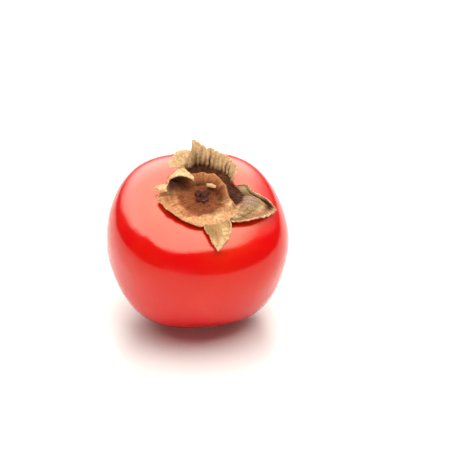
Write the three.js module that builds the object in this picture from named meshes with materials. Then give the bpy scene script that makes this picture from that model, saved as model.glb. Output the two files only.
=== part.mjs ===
// A ripe, squat persimmon with its dried calyx, lying leaned to one side on a small flat spot.
//
// Millimetres, +Z up. The origin is on the surface that the fruit rests on, under the
// middle of its body. Every piece is modelled upright in the fruit's own frame, with the
// middle of the body at zero and the calyx towards +Z, and one group leans them all together.
//
// Angles are degrees round the fruit's own axis, anticlockwise seen from the calyx, with
// 0 towards +X. "rho" is the distance from that axis, and "z" the height along it.

import * as THREE from 'three';

const { clamp, degToRad, lerp, smoothstep } = THREE.MathUtils;

// ---------------------------------------------------------------- driving dimensions

const CENTRE_HEIGHT = 32.5; // middle of the body above the resting surface; its skin would reach 2 mm lower
const LEAN = { forward: 24.6, sideways: 6.3 };

const BODY = {
	radius: 38.2,
	top: { height: 29.6, squareness: 2.76, swell: 0.042 },
	base: { height: 34, squareness: 2.05, swell: 0.052 },
	corners: 4,
	cornerAt: - 35,
	cornerSwell: 0.008, // share of the radius that the corners stand out; halfway to an end "swell" adds more
};
const BASIN = { depth: 5.5, radius: 13 }; // hollow round the calyx
const DIMPLE = { depth: 3, radius: 7 }; // hollow at the blossom end
const FURROW = { depth: 0.9, reach: 15, halfWidth: 13 }; // creases out of the dimple; degrees wide

const GAP = 0.3; // clearance between touching pieces
const SHEET = 0.85; // thickness of the calyx
const CALYX = {
	floor: 28.1, // top of the disc round the stem scar
	pit: { radius: 4, floor: 26.8 }, // seat of the stem scar
	scarAt: new THREE.Vector3( - 0.8, 0, 0 ), // the stalk stands a little off the axis
	seatEnds: [ 8, 11 ], // the disc fits the basin inside these radii, and is a free sheet beyond them
	rimRadius: 14.9,
	rimShift: 0.5, // how far the rim circle is off the axis
	rimShiftAt: 170,
	rimHeight: 29.1,
	rimRise: 1.8, // how much higher the rim stands at rimRiseAt
	rimRiseAt: 178,
	notch: { at: 33, halfWidth: 9, depth: 2 }, // where a piece of the rim has broken off
	lip: 0.9, // bare edge between the lobes
	lipWave: 0.25,
	tipWidth: 0.13, // share of a lobe's half-width that its point takes up
	stretch: 1.2, // sheet thickness along +Z where the disc slopes, in sheets
};

// Waves of the dried edge: height, number round the rim and phase.
const EDGE_WAVES = [ [ 0.5, 7, 40 ], [ 0.3, 13, 0 ], [ 0.2, 23, 100 ] ];

// The raised ring of the disc. It stands highest at "highestAt", lies off the axis towards
// "shiftAt", has a small ear at one side, and runs out into the rim round "mergesAt".
const COLLAR = {
	radius: 9.6, shift: 1.2, shiftAt: 150, riseWidth: 3.8, fallWidth: 2.1,
	height: 2.1, swell: 1.2, highestAt: 50,
	mergesAt: 198, mergeFrom: 0.25, mergeTo: 0.85,
	ear: { at: 338, halfWidth: 15, reach: 3.4 },
};

// The lobes of the calyx in the order of their azimuths. A lobe grows from the rim between
// "from" and "to", and reaches furthest at "tip". Its spine is a cubic curve, with each
// point's distance outwards and height from the rim. "fullness" shapes its two sides, straight
// at 1 and rounder below; "edge" is how much of the length the two ends of its base keep;
// "shoulder" is how much of it the lobe keeps beside its tip; "swing" turns it along the rim
// at its from end, tip and to end; "ripple" is the height of its waves and their number.
const LOBES = [
	{ // stands up behind the disc like a torn fan
		from: 38, tip: 105, to: 124, spine: [ [ 0, 0 ], [ 1.3, 0.2 ], [ 1.2, 5 ], [ 6.6, 9.6 ] ],
		fullness: [ 0.14, 0.5 ], edge: [ 0.15, 0.18 ], shoulder: 0.84, swing: [ 2, 0, 0 ], ripple: [ 0.4, 7 ],
	},
	{ // curls in over the disc
		from: 125, tip: 138, to: 168, spine: [ [ 0, 0 ], [ 1, 1.3 ], [ - 4, 2.3 ], [ - 8, 0.8 ] ],
		fullness: [ 0.6, 1.2 ], edge: [ 0, 0 ], shoulder: 1, swing: [ 0, - 9, 0 ], ripple: [ 0.1, 2 ],
	},
	{ // torn spike
		from: 168, tip: 175, to: 182, spine: [ [ 0, 0 ], [ 1.5, 0.1 ], [ 3, 0.1 ], [ 4.9, - 1.2 ] ],
		fullness: [ 1, 1 ], edge: [ 0, 0 ], shoulder: 1, swing: [ 0, 0, 0 ], ripple: [ 0, 1 ],
	},
	{ // low skirt beside the spike
		from: 182, tip: 190, to: 230, spine: [ [ 0, 0 ], [ 1.2, 0 ], [ 2.4, - 0.4 ], [ 3.7, - 1.9 ] ],
		fullness: [ 0.6, 1.2 ], edge: [ 0.3, 0 ], shoulder: 1, swing: [ 0, 0, 0 ], ripple: [ 0.15, 2 ],
	},
	{ // narrow, hangs over the shoulder
		from: 270, tip: 285, to: 306, spine: [ [ 0, 0 ], [ 3, 0.3 ], [ 7, 0 ], [ 10.4, - 3 ] ],
		fullness: [ 0.85, 0.65 ], edge: [ 0.05, 0.05 ], shoulder: 1, swing: [ 0, - 3.5, 0 ], ripple: [ 0.2, 2 ],
	},
	{ // broad, lies out along the shoulder
		from: 311, tip: 357, to: 387, spine: [ [ 0, 0 ], [ 4, 0.9 ], [ 9, 0.6 ], [ 14.4, - 5.2 ] ],
		fullness: [ 0.95, 2.6 ], edge: [ 0.08, 0.24 ], shoulder: 1, swing: [ 0, 0, - 4 ], ripple: [ 0.3, 3 ],
	},
];

const SCAR = {
	radius: 3.5, height: 2.1, hollow: 1.1,
	splinters: 5, splinterHeight: 0.7, splinterPhase: 60,
	flank: 0.45, // share of the height at which the outermost ring ends
};
const STYLE = { radius: 0.9, length: 1.6 };

const BODY_SEGMENTS = { around: 72, down: 38 };
const CALYX_COLUMNS = 96;
const PIT_RINGS = [ 3.9, 4.5 ]; // radii of the foot and the top of the pit's wall
const FLOOR_RINGS = [ 0.3, 0.55, 0.78, 1 ]; // shares of the way from the pit to the collar
const VALLEY_RINGS = [ 0.28, 0.6 ]; // shares of the way from the collar to the rim
const LOBE_ROWS = 8;
const SCAR_COLUMNS = 20;
const SCAR_RINGS = [ 0.35, 0.65, 0.88, 1 ]; // shares of the stump's radius
const STYLE_SEGMENTS = { around: 8, along: 2 };

// ---------------------------------------------------------------- finishes

function finish( color, roughness ) {

	return new THREE.MeshStandardMaterial( { color, roughness, metalness: 0 } );

}

const skin = finish( 0xe2241a, 0.22 );
const driedLeaf = finish( 0xb98a5c, 0.8 );
const wood = finish( 0x4b2113, 0.85 );
const driedStyle = finish( 0x2e1a12, 0.8 );

// ---------------------------------------------------------------- small helpers

/** A hump of height 1 at x = 0 that fades out over about "width". */
function hump( x, width ) {

	return Math.exp( - ( ( x / width ) ** 2 ) );

}

/** The smallest signed difference between two azimuths, in degrees. */
function turn( from, to ) {

	return THREE.MathUtils.euclideanModulo( to - from + 180, 360 ) - 180;

}

function cosDeg( degrees ) {

	return Math.cos( degToRad( degrees ) );

}

function polar( rho, azimuth, z ) {

	return new THREE.Vector3( rho * cosDeg( azimuth ), rho * cosDeg( azimuth - 90 ), z );

}

// ---------------------------------------------------------------- the body

/** How far one end of the body stands out at an azimuth and a share of its radius, as a factor. */
function cornerFactor( azimuth, share, end ) {

	const halfway = 4 * share ** 2 * ( 1 - share ** 2 ); // 1 at its highest
	const most = BODY.cornerSwell * share ** 2 + end.swell * halfway;
	return 1 + most * cosDeg( BODY.corners * ( azimuth - BODY.cornerAt ) );

}

/** Height of the body's upper skin. */
function shoulderHeight( rho, azimuth ) {

	const reached = rho / BODY.radius;
	const share = reached / cornerFactor( azimuth, reached, BODY.top );
	const { height, squareness } = BODY.top;
	return height * ( 1 - share ** squareness ) ** ( 1 / squareness ) - BASIN.depth * hump( rho, BASIN.radius );

}

/** How deep the creases of the blossom end are. They lie between the body's corners. */
function furrowDepth( rho, azimuth ) {

	const spacing = 360 / BODY.corners;
	const nearest = turn( 0, ( azimuth - BODY.cornerAt - spacing / 2 ) * BODY.corners ) / BODY.corners;
	const along = rho / FURROW.reach;
	return FURROW.depth * 2 * along * Math.exp( - ( along ** 2 ) ) * hump( nearest, FURROW.halfWidth );

}

/** Point of the skin in a direction, as an angle from the calyx and an azimuth. */
function skinPoint( polarAngle, azimuth ) {

	const out = Math.sin( polarAngle );
	const up = Math.cos( polarAngle );
	const end = up > 0 ? BODY.top : BODY.base;
	const { height, squareness } = end;
	const spread = ( out / BODY.radius ) ** squareness + ( Math.abs( up ) / height ) ** squareness;
	const reach = spread ** ( - 1 / squareness );
	const rho = reach * out * cornerFactor( azimuth, reach * out / BODY.radius, end );
	const hollow = up > 0
		? - BASIN.depth * hump( rho, BASIN.radius )
		: DIMPLE.depth * hump( rho, DIMPLE.radius ) + furrowDepth( rho, azimuth );
	return polar( rho, azimuth, reach * up + hollow );

}

/** Rotation from the fruit's own frame to the one that it rests in. */
const leanRotation = new THREE.Quaternion().setFromEuler(
	new THREE.Euler( degToRad( LEAN.forward ), degToRad( LEAN.sideways ), 0 ) );

/** Straight up from the resting surface, in the fruit's own frame. */
const upward = new THREE.Vector3( 0, 0, 1 ).applyQuaternion( leanRotation.clone().invert() );

/** Flattens what would reach below the resting surface onto it. */
function pressFlat( point ) {

	const height = point.dot( upward ) + CENTRE_HEIGHT;
	if ( height < 0 ) point.addScaledVector( upward, - height );

}

function fruitGeometry() {

	const geometry = new THREE.SphereGeometry( 1, BODY_SEGMENTS.around, BODY_SEGMENTS.down );
	geometry.rotateX( Math.PI / 2 );
	const position = geometry.attributes.position;
	const point = new THREE.Vector3();
	for ( let i = 0; i < position.count; i ++ ) {

		point.fromBufferAttribute( position, i );
		const azimuth = THREE.MathUtils.radToDeg( Math.atan2( point.y, point.x ) );
		point.copy( skinPoint( Math.acos( clamp( point.z, - 1, 1 ) ), azimuth ) );
		pressFlat( point );
		position.setXYZ( i, point.x, point.y, point.z );

	}

	geometry.computeVertexNormals();
	return geometry;

}

// ---------------------------------------------------------------- sheets on a polar grid

/**
 * A closed solid between two faces that share a polar grid. "pair" gives the point of the
 * upper face and the point of the lower face for an azimuth and a row, from 0 at the middle
 * to "rows" at the edge. Both faces are split into triangles alike.
 */
function polarSolid( columns, rows, pair ) {

	const upper = [];
	const lower = [];
	const add = ( azimuth, row ) => {

		const [ top, bottom ] = pair( azimuth, row );
		upper.push( top.x, top.y, top.z );
		lower.push( bottom.x, bottom.y, bottom.z );

	};

	add( 0, 0 );
	for ( let row = 1; row <= rows; row ++ ) {

		for ( let column = 0; column < columns; column ++ ) add( column * 360 / columns, row );

	}

	const base = 1 + rows * columns;
	const at = ( row, column ) => ( row === 0 ? 0 : 1 + ( row - 1 ) * columns + column % columns );
	const index = [];
	const face = ( a, b, c ) => index.push( a, b, c, base + a, base + c, base + b );
	for ( let column = 0; column < columns; column ++ ) {

		face( 0, at( 1, column ), at( 1, column + 1 ) );
		for ( let row = 1; row < rows; row ++ ) {

			face( at( row, column ), at( row + 1, column ), at( row + 1, column + 1 ) );
			face( at( row, column ), at( row + 1, column + 1 ), at( row, column + 1 ) );

		}

		const edge = at( rows, column );
		const next = at( rows, column + 1 );
		index.push( edge, base + edge, base + next, edge, base + next, next );

	}

	const geometry = new THREE.BufferGeometry();
	geometry.setAttribute( 'position', new THREE.Float32BufferAttribute( upper.concat( lower ), 3 ) );
	geometry.setIndex( index );
	geometry.computeVertexNormals();
	return geometry;

}

// ---------------------------------------------------------------- the calyx

function rimRadius( azimuth ) {

	const { at, halfWidth, depth } = CALYX.notch;
	const whole = CALYX.rimRadius + CALYX.rimShift * cosDeg( azimuth - CALYX.rimShiftAt );
	return whole - depth * hump( turn( at, azimuth ), halfWidth );

}

function rimHeight( azimuth ) {

	const rise = Math.max( 0, cosDeg( azimuth - CALYX.rimRiseAt ) ) ** 2;
	return CALYX.rimHeight + CALYX.rimRise * rise;

}

/** Small unevenness of the dried edge, between about -1 and 1. */
function unevenness( azimuth ) {

	return EDGE_WAVES.reduce(
		( sum, [ height, count, phase ] ) => sum + height * cosDeg( count * azimuth + phase ), 0 );

}

/** How far the collar has run out into the rim at an azimuth, from 0 to 1. */
function collarMerge( azimuth ) {

	return smoothstep( cosDeg( azimuth - COLLAR.mergesAt ), COLLAR.mergeFrom, COLLAR.mergeTo );

}

function collarRadius( azimuth ) {

	const { at, halfWidth, reach } = COLLAR.ear;
	const even = COLLAR.radius + COLLAR.shift * cosDeg( azimuth - COLLAR.shiftAt );
	const free = even + reach * hump( turn( at, azimuth ), halfWidth );
	return lerp( free, rimRadius( azimuth ) - 1, collarMerge( azimuth ) );

}

function collarTop( azimuth ) {

	const free = CALYX.floor + COLLAR.height + COLLAR.swell * cosDeg( azimuth - COLLAR.highestAt );
	return lerp( free, rimHeight( azimuth ), collarMerge( azimuth ) );

}

/** Upper face of the disc, from the seat of the stem scar out to the rim. */
function discHeight( rho, azimuth ) {

	if ( rho < CALYX.pit.radius ) return CALYX.pit.floor;
	const crest = collarRadius( azimuth );
	const top = collarTop( azimuth );
	const riseWidth = lerp( COLLAR.riseWidth, crest - CALYX.pit.radius, collarMerge( azimuth ) );
	const inner = lerp( CALYX.floor, top, smoothstep( rho, crest - riseWidth, crest ) );
	return lerp( inner, rimHeight( azimuth ), smoothstep( rho, crest, crest + COLLAR.fallWidth ) );

}

/** The lobe that grows at an azimuth and the place across it, from -1 to 1 with 0 at its tip. */
function lobeAt( azimuth ) {

	for ( const lobe of LOBES ) {

		const fromTip = turn( lobe.tip, azimuth );
		const across = fromTip / ( fromTip < 0 ? lobe.tip - lobe.from : lobe.to - lobe.tip );
		if ( Math.abs( across ) <= 1 ) return { lobe, across };

	}

	return null;

}

/** How much of the spine's length a lobe keeps at a place across it. */
function lobeReach( lobe, across ) {

	const side = across < 0 ? 0 : 1;
	const share = lerp( lobe.edge[ side ], 1, ( 1 - Math.abs( across ) ) ** lobe.fullness[ side ] );
	return share * lerp( lobe.shoulder, 1, hump( across, CALYX.tipWidth ) );

}

/** Point of a lobe's spine a share of the way along it, from the rim, and its slope in radians. */
function spineAt( spine, share ) {

	const curve = new THREE.CubicBezierCurve( ...spine.map( ( pair ) => new THREE.Vector2( ...pair ) ) );
	const tangent = curve.getTangent( share );
	return { point: curve.getPoint( share ), slope: Math.atan2( tangent.y, tangent.x ) };

}

/** Point of the calyx's upper face and its upward normal, "outwards" from 0 at the rim to 1 at the edge. */
function edgePoint( azimuth, outwards ) {

	const found = lobeAt( azimuth );
	let out = 0;
	let up = CALYX.lipWave * unevenness( azimuth ) * outwards;
	let slope = 0;
	let heading = azimuth;
	if ( found ) {

		const { lobe, across } = found;
		const spine = spineAt( lobe.spine, lobeReach( lobe, across ) * outwards );
		const ripple = lobe.ripple[ 0 ] * Math.sin( lobe.ripple[ 1 ] * Math.PI * across ) * outwards;
		slope = spine.slope;
		out = spine.point.x - Math.sin( slope ) * ripple;
		up += spine.point.y + Math.cos( slope ) * ripple;
		const endSwing = across < 0 ? lobe.swing[ 0 ] : lobe.swing[ 2 ];
		heading += lerp( lobe.swing[ 1 ], endSwing, Math.abs( across ) ) * outwards;

	}

	out += CALYX.lip * Math.max( 0, Math.cos( slope ) ) * outwards;
	const point = polar( rimRadius( azimuth ) + out, heading, rimHeight( azimuth ) + up );
	return { point, normal: polar( - Math.sin( slope ), heading, Math.cos( slope ) ) };

}

/** Lifts a point to at least "clearance" above the skin. */
function keepAbove( point, clearance ) {

	const azimuth = THREE.MathUtils.radToDeg( Math.atan2( point.y, point.x ) );
	const skinHeight = shoulderHeight( Math.hypot( point.x, point.y ), azimuth );
	point.z = Math.max( point.z, skinHeight + clearance );
	return point;

}

/** Radii of the disc's rings at an azimuth, from the middle out to just inside the rim. */
function discRings( azimuth ) {

	const pitEdge = PIT_RINGS[ PIT_RINGS.length - 1 ];
	const crest = collarRadius( azimuth );
	return [
		0,
		...PIT_RINGS,
		...FLOOR_RINGS.map( ( share ) => lerp( pitEdge, crest, share ) ),
		...VALLEY_RINGS.map( ( share ) => lerp( crest, rimRadius( azimuth ), share ) ),
	];

}

/** The calyx's upper and lower points at an azimuth and a row of its grid. */
function calyxPair( azimuth, row ) {

	const rings = discRings( azimuth );
	if ( row < rings.length ) {

		const rho = rings[ row ];
		const place = polar( rho, azimuth, discHeight( rho, azimuth ) );
		place.addScaledVector( CALYX.scarAt, 1 - ( rho / rimRadius( azimuth ) ) ** 2 );
		const top = keepAbove( place.clone(), GAP + SHEET );
		const seated = keepAbove( place.clone().setZ( 0 ), GAP );
		const free = keepAbove( top.clone().setZ( top.z - SHEET * CALYX.stretch ), GAP );
		const fit = smoothstep( rho, ...CALYX.seatEnds );
		return [ top, seated.lerp( free, fit ) ];

	}

	const outwards = ( row - rings.length ) / LOBE_ROWS;
	const { point, normal } = edgePoint( azimuth, outwards );
	const top = keepAbove( point, GAP + SHEET * CALYX.stretch );
	const bottom = keepAbove( top.clone().addScaledVector( normal, - SHEET ), GAP );
	return [ top, bottom ];

}

function calyxGeometry() {

	const rows = PIT_RINGS.length + FLOOR_RINGS.length + VALLEY_RINGS.length + 1 + LOBE_ROWS;
	return polarSolid( CALYX_COLUMNS, rows, calyxPair );

}

// ---------------------------------------------------------------- stem scar and style

/** The broken end of the woody stalk: a low stump with a hollow top and a splintered edge. */
function stemScarGeometry() {

	const foot = CALYX.pit.floor + GAP;
	return polarSolid( SCAR_COLUMNS, SCAR_RINGS.length, ( azimuth, row ) => {

		const share = row === 0 ? 0 : SCAR_RINGS[ row - 1 ];
		const splinter = SCAR.splinterHeight * cosDeg( SCAR.splinters * azimuth + SCAR.splinterPhase ) * share;
		const crown = SCAR.height - SCAR.hollow * ( 1 - share ** 2 ) + splinter;
		const flank = row === SCAR_RINGS.length ? SCAR.flank : 1;
		const rho = SCAR.radius * share;
		const place = polar( rho, azimuth, foot ).add( CALYX.scarAt );
		return [ place.clone().setZ( foot + crown * flank ), place ];

	} );

}

/** The dried point that the flower's style leaves in the blossom end. */
function styleTipGeometry() {

	const geometry = new THREE.ConeGeometry(
		STYLE.radius, STYLE.length, STYLE_SEGMENTS.around, STYLE_SEGMENTS.along );
	geometry.rotateX( - Math.PI / 2 );
	const dimpleFloor = - BODY.base.height + DIMPLE.depth;
	geometry.translate( 0, 0, dimpleFloor - GAP - STYLE.length / 2 );
	return geometry;

}

// ---------------------------------------------------------------- the assembly

const leaned = new THREE.Group();
leaned.position.z = CENTRE_HEIGHT;
leaned.quaternion.copy( leanRotation );

function addPiece( name, geometry, material ) {

	const piece = new THREE.Mesh( geometry, material );
	piece.name = name;
	leaned.add( piece );

}

addPiece( 'fruit', fruitGeometry(), skin );
addPiece( 'calyx', calyxGeometry(), driedLeaf );
addPiece( 'stem_scar', stemScarGeometry(), wood );
addPiece( 'style_tip', styleTipGeometry(), driedStyle );

const persimmon = new THREE.Group();
persimmon.name = 'persimmon';
persimmon.add( leaned );

export default persimmon;
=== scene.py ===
"""A ripe persimmon with its dried calyx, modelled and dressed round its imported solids.

Shapes are worked out in the fruit's own frame, in millimetres, with the middle of the body at
zero and the calyx towards +Z. Angles are degrees round that axis, anticlockwise seen from the
calyx, with 0 towards +X. "rho" is the distance from the axis. One transform leans a finished
mesh into the frame that the fruit rests in and brings it to metres.
"""

import logging
import math
from dataclasses import dataclass, field
from enum import Enum
from typing import Callable, Mapping, Sequence, Union

import bmesh
import bpy
from mathutils import Matrix, Vector, noise


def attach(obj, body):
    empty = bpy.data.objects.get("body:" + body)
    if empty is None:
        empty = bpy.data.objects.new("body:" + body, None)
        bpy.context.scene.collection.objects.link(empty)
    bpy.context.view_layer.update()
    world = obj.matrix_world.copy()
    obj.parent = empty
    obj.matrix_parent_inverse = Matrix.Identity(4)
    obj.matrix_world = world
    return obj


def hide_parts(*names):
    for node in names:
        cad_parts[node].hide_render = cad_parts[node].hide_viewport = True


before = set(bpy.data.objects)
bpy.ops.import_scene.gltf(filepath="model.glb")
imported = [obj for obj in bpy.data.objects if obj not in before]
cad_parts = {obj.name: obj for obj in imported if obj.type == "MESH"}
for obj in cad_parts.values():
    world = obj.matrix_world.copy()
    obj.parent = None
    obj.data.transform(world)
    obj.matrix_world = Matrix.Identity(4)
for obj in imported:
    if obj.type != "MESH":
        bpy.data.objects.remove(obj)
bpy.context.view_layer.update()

LOG = logging.getLogger("persimmon")
MM = 0.001
SEAM = 1e-4  # how close, in millimetres, points of a seam or pole lie that become one
STALK_SHIFT = -0.8  # the stalk stands a little off the axis
Colour = tuple[float, float, float]


# ---------------------------------------------------------------- small helpers


def lerp(a: float, b: float, t: float) -> float:
    """Value a share t of the way from a to b."""
    return a + (b - a) * t


def smooth(x: float, low: float, high: float) -> float:
    """Smooth step from 0 at low to 1 at high."""
    t = min(max((x - low) / (high - low), 0.0), 1.0)
    return t * t * (3 - 2 * t)


def hump(x: float, width: float) -> float:
    """Hump of height 1 at x = 0 that fades out over about width."""
    return math.exp(-((x / width) ** 2))


def turn(start: float, end: float) -> float:
    """Smallest signed difference between two azimuths, in degrees."""
    return (end - start + 180) % 360 - 180


def cos_deg(degrees: float) -> float:
    """Cosine of an angle in degrees."""
    return math.cos(math.radians(degrees))


def polar(rho: float, azimuth: float, z: float) -> Vector:
    """Point at a distance from the axis, an azimuth and a height."""
    return Vector((rho * cos_deg(azimuth), rho * cos_deg(azimuth - 90), z))


def grain(x: float, y: float, z: float = 0.0) -> float:
    """Repeatable smooth noise at a place, between about -1 and 1."""
    return noise.noise(Vector((x, y, z)))


class Slot(Enum):
    """Material slots of the record."""

    SKIN = "skin"
    LEAF = "dried_leaf"
    WOOD = "wood"
    STYLE = "dried_style"


# ---------------------------------------------------------------- shader toolkit

Input = Union["Value", float, Sequence[float]]


class Value:
    """A shader socket that takes part in Python arithmetic."""

    def __init__(self, shader: "Shader", socket: bpy.types.NodeSocket) -> None:
        """Wraps one output socket of a shader's node."""
        self.shader = shader
        self.socket = socket

    def _math(self, operation: str, *terms: Input) -> "Value":
        """Adds a Math node.

        Args:
            operation: the node's operation.
            terms: its inputs in order.

        Returns:
            The node's output.
        """
        return self.shader.node("Math", {"operation": operation}, dict(enumerate(terms)))

    def __add__(self, other: Input) -> "Value":
        """Sum."""
        return self._math("ADD", self, other)

    __radd__ = __add__

    def __mul__(self, other: Input) -> "Value":
        """Product."""
        return self._math("MULTIPLY", self, other)

    __rmul__ = __mul__

    def __sub__(self, other: Input) -> "Value":
        """Difference."""
        return self._math("SUBTRACT", self, other)

    def __rsub__(self, other: Input) -> "Value":
        """Difference from a number, so that 1 - mask works."""
        return self._math("SUBTRACT", other, self)

    def most(self, other: Input) -> "Value":
        """The larger of two values."""
        return self._math("MAXIMUM", self, other)

    def smooth(self, low: float, high: float) -> "Value":
        """Smooth step of this value.

        Args:
            low: value that gives 0.
            high: value that gives 1.

        Returns:
            The stepped value, from 0 to 1.
        """
        inputs = {"Value": self, "From Min": low, "From Max": high}
        return self.shader.node("MapRange", {"interpolation_type": "SMOOTHSTEP"}, inputs)


class Shader:
    """A node tree whose nodes are added one call at a time."""

    def __init__(self, owner: bpy.types.Material | bpy.types.World) -> None:
        """Empties the tree of a material or a world."""
        owner.use_nodes = True
        self.tree = owner.node_tree
        self.tree.nodes.clear()

    def set(self, node: bpy.types.Node, key: Union[str, int], given: Input) -> None:
        """Links or sets one input of a node.

        Args:
            node: the node.
            key: the input's name, identifier or number.
            given: a value to link, or a constant.
        """
        named = {socket.identifier: socket for socket in node.inputs}
        socket = named[key] if key in named else node.inputs[key]
        if isinstance(given, Value):
            self.tree.links.new(given.socket, socket)
        elif isinstance(given, (int, float)):
            socket.default_value = given
        else:
            short = len(given) < len(socket.default_value)
            socket.default_value = (*given, 1.0) if short else tuple(given)

    def node(
        self,
        kind: str,
        settings: Mapping[str, object] | None = None,
        inputs: Mapping[Union[str, int], Input] | None = None,
        output: Union[str, int] = 0,
    ) -> Value:
        """Adds a node of any type.

        Args:
            kind: the type's name without its "ShaderNode".
            settings: the node's own settings.
            inputs: values or links of its inputs.
            output: which output to hand back.

        Returns:
            That output.
        """
        made = self.tree.nodes.new("ShaderNode" + kind)
        for key, given in (settings or {}).items():
            setattr(made, key, given)
        for key, given in (inputs or {}).items():
            self.set(made, key, given)
        named = {socket.identifier: socket for socket in made.outputs}
        return Value(self, named[output] if output in named else made.outputs[output])

    def mix(self, factor: Input, first: Input, second: Input) -> Value:
        """Mixes two colours.

        Args:
            factor: share of the second.
            first: colour at 0.
            second: colour at 1.

        Returns:
            The mixed colour.
        """
        settings = {"data_type": "RGBA", "clamp_factor": True}
        inputs = {"Factor_Float": factor, "A_Color": first, "B_Color": second}
        return self.node("Mix", settings, inputs, "Result_Color")

    def noise(self, where: Value, scale: float, detail: float = 2.0, warp: float = 0.0) -> Value:
        """Noise texture from 0 to 1.

        Args:
            where: coordinates.
            scale: cells per unit of them.
            detail: octaves.
            warp: distortion.

        Returns:
            The noise.
        """
        inputs = {"Vector": where, "Scale": scale, "Detail": detail, "Distortion": warp}
        return self.node("TexNoise", {"noise_dimensions": "3D"}, inputs, "Fac")

    def cells(self, where: Value, scale: float, feature: str) -> Value:
        """Cell texture.

        Args:
            where: coordinates.
            scale: cells per unit of them.
            feature: what is measured, F1 for the distance to a cell's middle.

        Returns:
            The distance.
        """
        inputs = {"Vector": where, "Scale": scale}
        return self.node("TexVoronoi", {"feature": feature}, inputs, "Distance")

    def ray(self, kind: str) -> Value:
        """1 for rays of a kind, such as "Camera", and 0 for all others."""
        return self.node("LightPath", None, None, f"Is {kind} Ray")


class Finish(Shader):
    """The nodes of a material, with a Principled shader on its output."""

    def __init__(self, name: str) -> None:
        """Starts a material."""
        self.material = bpy.data.materials.new(name)
        super().__init__(self.material)
        self.surface = self.tree.nodes.new("ShaderNodeBsdfPrincipled")
        output = self.tree.nodes.new("ShaderNodeOutputMaterial")
        self.tree.links.new(self.surface.outputs[0], output.inputs["Surface"])

    def dress(self, **inputs: Input) -> None:
        """Sets inputs of the Principled shader, named with underscores for spaces."""
        for name, given in inputs.items():
            self.set(self.surface, name.replace("_", " "), given)

    def attribute(self, name: str, output: str = "Fac") -> Value:
        """Reads one of the mesh's own attributes."""
        return self.node("Attribute", {"attribute_name": name}, None, output)

    def fruit_place(self) -> Value:
        """Object coordinates brought back to the fruit's own frame, in millimetres."""
        back = LEAN.rotation().inverted()
        origin = -(back @ Vector((0, 0, LEAN.centre_height)))
        where = self.node("TexCoord", None, None, "Object")
        inputs = {
            "Vector": where,
            "Location": origin,
            "Rotation": back.to_euler("XYZ"),
            "Scale": (1 / MM,) * 3,
        }
        return self.node("Mapping", {"vector_type": "POINT"}, inputs)

    def bump(self, height: Value, depth: float) -> None:
        """Feeds a relief, from about 0 to 1 and of a depth in metres, to the surface's normal."""
        inputs = {"Height": height, "Distance": depth, "Strength": 1.0}
        self.set(self.surface, "Normal", self.node("Bump", None, inputs))


@dataclass(frozen=True)
class Lean:
    """How the fruit's own frame sits in the one that it rests in.

    Attributes:
        forward: how far it leans towards the front, in degrees.
        sideways: how far it leans to the right.
        centre_height: height of the middle of its body.
    """

    forward: float = 24.6
    sideways: float = 6.3
    centre_height: float = 32.5

    def rotation(self) -> Matrix:
        """Rotation from the fruit's frame."""
        forward = Matrix.Rotation(math.radians(self.forward), 4, "X")
        return forward @ Matrix.Rotation(math.radians(self.sideways), 4, "Y")

    def place(self, point: Vector) -> Vector:
        """Where a point of the fruit's frame rests, in metres, none lower than the floor."""
        rested = self.rotation() @ point + Vector((0, 0, self.centre_height))
        rested.z = max(rested.z, 0.0)
        return rested * MM


LEAN = Lean()


# ---------------------------------------------------------------- finishes


@dataclass(frozen=True)
class SkinFinish:
    """Glossy, thin, waxy skin of a ripe fruit.

    Attributes:
        deep: the deeper of the two reds that it is mottled with.
        bright: the lighter of them.
        orange: tint of its two ends.
        top_orange: heights over the middle between which the upper end takes it on.
        base_orange: depths under the middle between which the lower end does.
        sheen: tint of what it mirrors.
        speck: colour of its scattered specks.
        roughness: its least and greatest roughness.
        speck_roughness: how much rougher the specks are.
        relief: depth of its faint dents, in metres.
    """

    deep: Colour = (0.62, 0.002, 0.0035)
    bright: Colour = (0.65, 0.008, 0.0035)
    orange: Colour = (0.70, 0.055, 0.008)
    top_orange: tuple[float, float] = (27.0, 34.0)
    base_orange: tuple[float, float] = (29.0, 36.0)
    sheen: Colour = (1.0, 1.0, 0.78)
    speck: Colour = (0.20, 0.006, 0.004)
    roughness: tuple[float, float] = (0.11, 0.19)
    speck_roughness: float = 0.06
    relief: float = 0.00004

    def material(self) -> bpy.types.Material:
        """Builds the material.

        Returns:
            The material, with mottled colour, specks and a faint orange-peel relief.
        """
        s = Finish("ripe_skin")
        where = s.fruit_place()
        height = s.node("SeparateXYZ", None, {"Vector": where}, "Z")
        broad = s.noise(where, 0.045, 3.0, 0.4)
        fine = s.noise(where, 0.6, 4.0)
        colour = s.mix(broad.smooth(0.35, 0.7), self.deep, self.bright)
        upper = (height + broad * 8.0).smooth(*self.top_orange)
        lower = (broad * 7.0 - height).smooth(*self.base_orange)
        colour = s.mix((upper + lower) * (0.35 + fine * 0.3), colour, self.orange)
        rare = s.noise(where, 0.09, 1.0).smooth(0.52, 0.68)
        specks = (1.0 - s.cells(where, 0.42, "F1").smooth(0.06, 0.16)) * rare
        colour = s.mix(specks * 0.25, colour, self.speck)
        low, high = self.roughness
        roughness = fine * (high - low) + low + specks * self.speck_roughness
        s.dress(Base_Color=colour, Roughness=roughness, IOR=1.53, Specular_Tint=self.sheen)
        s.bump(fine * 0.5 + s.noise(where, 0.16, 2.0) * 3.0, self.relief)
        return s.material


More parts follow.
